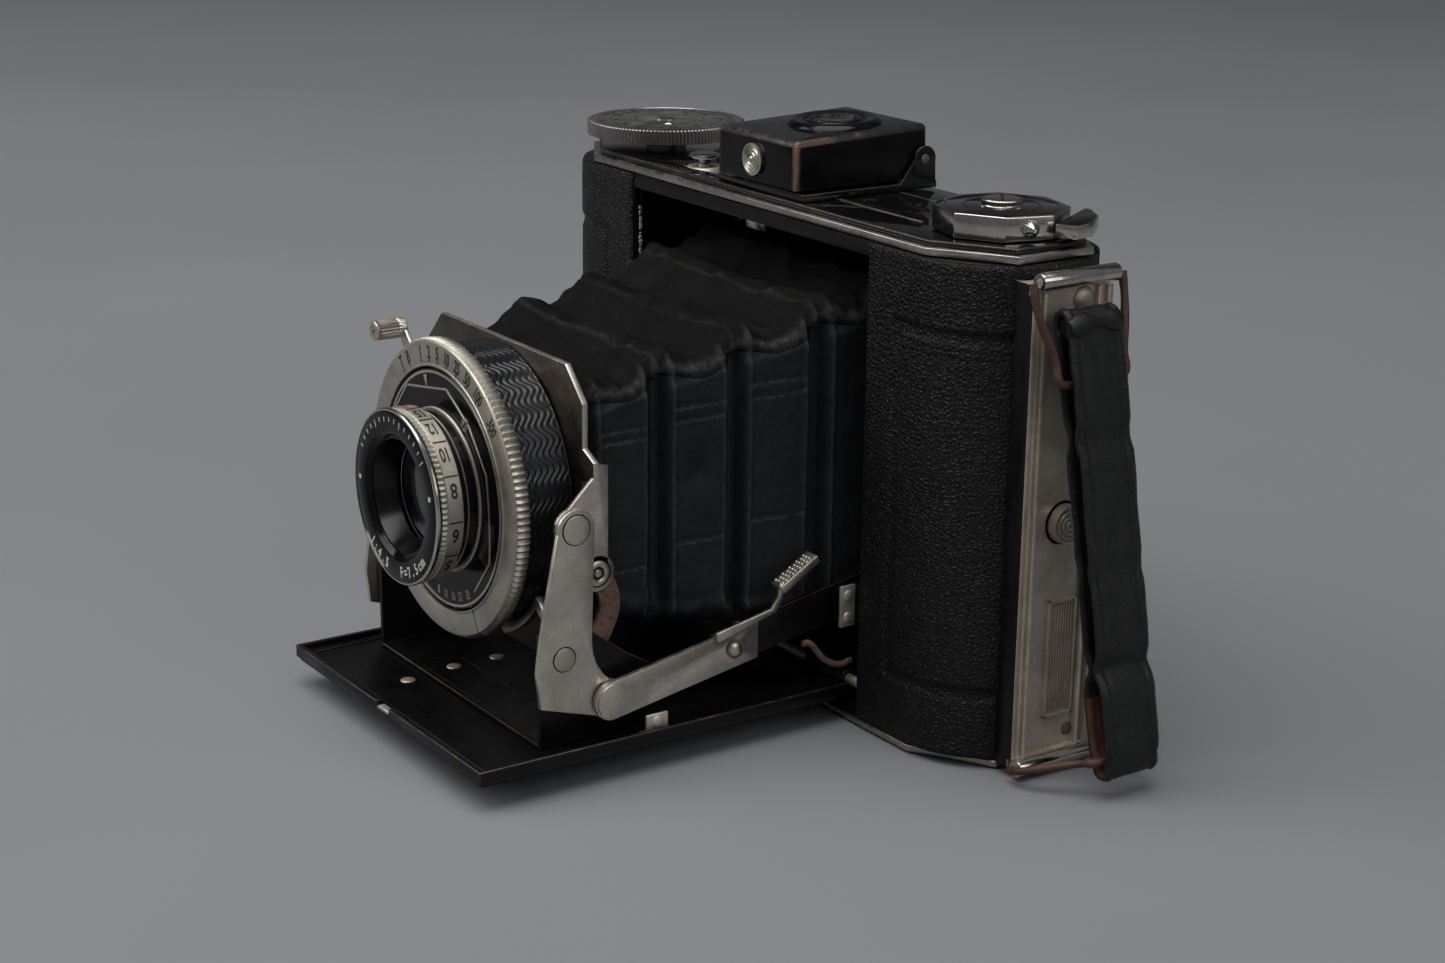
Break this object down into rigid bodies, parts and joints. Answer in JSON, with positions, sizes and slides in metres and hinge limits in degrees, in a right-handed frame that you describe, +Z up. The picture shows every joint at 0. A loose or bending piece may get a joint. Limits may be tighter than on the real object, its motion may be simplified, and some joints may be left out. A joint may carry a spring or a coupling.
{
  "type": "folding roll-film camera",
  "caption": "Vintage folding roll-film camera, opened: bed on folding struts, bellows, lens in a ring-set shutter, flip-up finder, winding knob, dial and carrying strap.",
  "frame": {"origin": "middle of the camera body, on the face of the bottom plate that the camera stands on", "axes": "+Z up out of the top of the body, the lens looks along -Y, the carrying strap is at the +X end"},
  "size_m": [0.1334, 0.094, 0.0883],
  "materials": {
    "black_enamel": "gloss",
    "body_leather": "pebbled",
    "worn_nickel": "worn satin",
    "rusty_steel": "rusty",
    "blackened_metal": "satin",
    "bellows_cloth": "matt",
    "strap_leather": "smooth",
    "clear_glass": "clear"
  },
  "bodies": {
    "camera_body": {"body_shell": "black_enamel", "film_gate": "blackened_metal", "leather_right": "body_leather", "leather_left": "body_leather", "top_trim": "worn_nickel", "top_deck": "black_enamel", "bottom_plate": "worn_nickel", "bed_hinge_pin": "worn_nickel", "back_hinge_pin": "worn_nickel", "end_plate": "worn_nickel", "carry_strap": "strap_leather", "strap_wire_top": "rusty_steel", "strap_wire_bottom": "rusty_steel", "finder_base": "black_enamel", "bellows": "bellows_cloth"},
    "bed": {"bed": "black_enamel", "bed_leather": "body_leather", "standard_bracket": "black_enamel"},
    "side_plates": {"side_plate_right": "worn_nickel", "side_plate_left": "worn_nickel"},
    "curved_links": {"curved_link_right": "rusty_steel", "curved_link_left": "rusty_steel"},
    "struts": {"strut_front_right": "worn_nickel", "strut_front_left": "worn_nickel", "strut_rear_right": "black_enamel", "strut_rear_left": "black_enamel"},
    "closing_lever": {"closing_lever": "worn_nickel"},
    "standard": {"lens_board": "worn_nickel", "shutter_case": "blackened_metal", "shutter_face": "black_enamel", "lens_barrel": "worn_nickel", "rear_lens_cell": "blackened_metal", "shutter_blades": "blackened_metal"},
    "speed_ring": {"speed_ring": "worn_nickel"},
    "focus": {"focus_ring": "worn_nickel", "name_ring": "black_enamel", "front_lens": "clear_glass"},
    "cocking_lever": {"cocking_lever": "worn_nickel"},
    "aperture": {"aperture_lever": "worn_nickel", "iris_diaphragm": "blackened_metal"},
    "release_lever": {"release_lever": "worn_nickel"},
    "finder_cover": {"finder_cover": "black_enamel", "finder_eyepiece": "clear_glass"},
    "finder_front": {"finder_front_frame": "worn_nickel", "finder_front_lens": "clear_glass"},
    "finder_catch": {"finder_catch_button": "worn_nickel"},
    "depth_dial": {"depth_dial": "worn_nickel"},
    "winder": {"winding_knob": "worn_nickel", "take_up_spool": "blackened_metal"},
    "key_flap": {"winding_key_flap": "worn_nickel"},
    "bed_release": {"bed_release_button": "worn_nickel"},
    "bed_catch": {"bed_catch": "worn_nickel"},
    "back": {"back_cover": "black_enamel", "back_leather": "body_leather", "pressure_spring": "rusty_steel"},
    "pressure_plate": {"pressure_plate": "blackened_metal"},
    "window_slide": {"window_slide": "blackened_metal"},
    "back_latch": {"back_latch_button": "worn_nickel"},
    "roller_right": {"film_roller_right": "worn_nickel"},
    "roller_left": {"film_roller_left": "worn_nickel"}
  },
  "joints": [
    {"name": "bed_fold", "type": "hinge", "parent": "camera_body", "child": "bed", "pos_m": [0, -0.0126, 0.0059], "axis": [-1, 0, 0], "range_deg": [0, 90], "deforming": ["bellows"]},
    {"name": "side_plate_turn", "type": "hinge", "parent": "bed", "child": "side_plates", "pos_m": [0, -0.063, 0.0191], "axis": [-1, 0, 0], "range_deg": [0, 80.2]},
    {"name": "link_turn", "type": "hinge", "parent": "bed", "child": "curved_links", "pos_m": [0, -0.0508, 0.0132], "axis": [-1, 0, 0], "range_deg": [0, 70.7]},
    {"name": "strut_turn", "type": "hinge", "parent": "camera_body", "child": "struts", "pos_m": [0, -0.0095, 0.0162], "axis": [-1, 0, 0], "range_deg": [0, 97.8]},
    {"name": "standard_turn", "type": "hinge", "parent": "side_plates", "child": "standard", "pos_m": [0, -0.0609, 0.0381], "axis": [-1, 0, 0], "range_deg": [-170.2, 0]},
    {"name": "closing_lever_press", "type": "hinge", "parent": "struts", "child": "closing_lever", "pos_m": [0.029, -0.0375, 0.0179], "axis": [-1, 0, 0], "range_deg": [0, 2.5], "stiffness_Nm_per_rad": 0.5},
    {"name": "speed_ring_turn", "type": "hinge", "parent": "standard", "child": "speed_ring", "pos_m": [0, -0.0574, 0.0381], "axis": [0, -1, 0], "range_deg": [-20, 85]},
    {"name": "focus_turn", "type": "hinge", "parent": "standard", "child": "focus", "pos_m": [0, -0.0574, 0.0381], "axis": [0, -1, 0], "range_deg": [-60, 200]},
    {"name": "cocking_lever_turn", "type": "hinge", "parent": "standard", "child": "cocking_lever", "pos_m": [0, -0.0574, 0.0381], "axis": [0, 1, 0], "range_deg": [0, 36], "stiffness_Nm_per_rad": 0.01},
    {"name": "aperture_turn", "type": "hinge", "parent": "standard", "child": "aperture", "pos_m": [0, -0.0574, 0.0381], "axis": [0, -1, 0], "range_deg": [-12, 30]},
    {"name": "release_lever_turn", "type": "hinge", "parent": "standard", "child": "release_lever", "pos_m": [0, -0.0574, 0.0381], "axis": [0, 1, 0], "range_deg": [0, 8], "stiffness_Nm_per_rad": 0.02},
    {"name": "finder_cover_fold", "type": "hinge", "parent": "camera_body", "child": "finder_cover", "pos_m": [0.0015, 0.011, 0.0822], "axis": [-1, 0, 0], "range_deg": [0, 90]},
    {"name": "finder_front_fold", "type": "hinge", "parent": "camera_body", "child": "finder_front", "pos_m": [0.0015, -0.0105, 0.0796], "axis": [1, 0, 0], "range_deg": [0, 90]},
    {"name": "finder_catch_press", "type": "slide", "parent": "finder_cover", "child": "finder_catch", "axis": [0, 1, 0], "range_m": [0, 0.0008], "stiffness_N_per_m": 150},
    {"name": "depth_dial_turn", "type": "hinge", "parent": "camera_body", "child": "depth_dial", "pos_m": [-0.0443, 0, 0.08], "axis": [0, 0, 1], "continuous": true},
    {"name": "winder_turn", "type": "hinge", "parent": "camera_body", "child": "winder", "pos_m": [0.0443, 0, 0.08], "axis": [0, 0, 1], "continuous": true},
    {"name": "key_flap_fold", "type": "hinge", "parent": "winder", "child": "key_flap", "pos_m": [0.05343, 0.00538, 0.0793], "axis": [0.5075, -0.8616, 0], "range_deg": [0, 90]},
    {"name": "bed_release_press", "type": "slide", "parent": "camera_body", "child": "bed_release", "axis": [0, 0, -1], "range_m": [0, 0.0014], "stiffness_N_per_m": 150},
    {"name": "bed_catch_slide", "type": "slide", "parent": "camera_body", "child": "bed_catch", "axis": [0, 1, 0], "range_m": [0, 0.0014]},
    {"name": "back_open", "type": "hinge", "parent": "camera_body", "child": "back", "pos_m": [-0.0552, 0.0114, 0.038], "axis": [0, 0, 1], "range_deg": [0, 110]},
    {"name": "pressure_plate_give", "type": "slide", "parent": "back", "child": "pressure_plate", "axis": [0, 1, 0], "range_m": [0, 0.0005], "stiffness_N_per_m": 400},
    {"name": "window_slide_move", "type": "slide", "parent": "back", "child": "window_slide", "axis": [1, 0, 0], "range_m": [0, 0.007]},
    {"name": "back_latch_press", "type": "slide", "parent": "camera_body", "child": "back_latch", "axis": [-1, 0, 0], "range_m": [0, 0.0009], "stiffness_N_per_m": 150},
    {"name": "roller_right_turn", "type": "hinge", "parent": "camera_body", "child": "roller_right", "pos_m": [0.0326, 0.008, 0.038], "axis": [0, 0, 1], "continuous": true},
    {"name": "roller_left_turn", "type": "hinge", "parent": "camera_body", "child": "roller_left", "pos_m": [-0.0326, 0.008, 0.038], "axis": [0, 0, 1], "continuous": true}
  ],
  "couplings": [
    {"joint": "side_plate_turn", "follows": "bed_fold", "ratio": 0.89},
    {"joint": "link_turn", "follows": "bed_fold", "ratio": 0.7841},
    {"joint": "strut_turn", "follows": "bed_fold", "ratio": 1.0853},
    {"joint": "standard_turn", "follows": "bed_fold", "ratio": -1.89},
    {"joint": "finder_front_fold", "follows": "finder_cover_fold", "ratio": 1},
    {"joint": "bed_catch_slide", "follows": "bed_release_press", "ratio": 1}
  ]
}
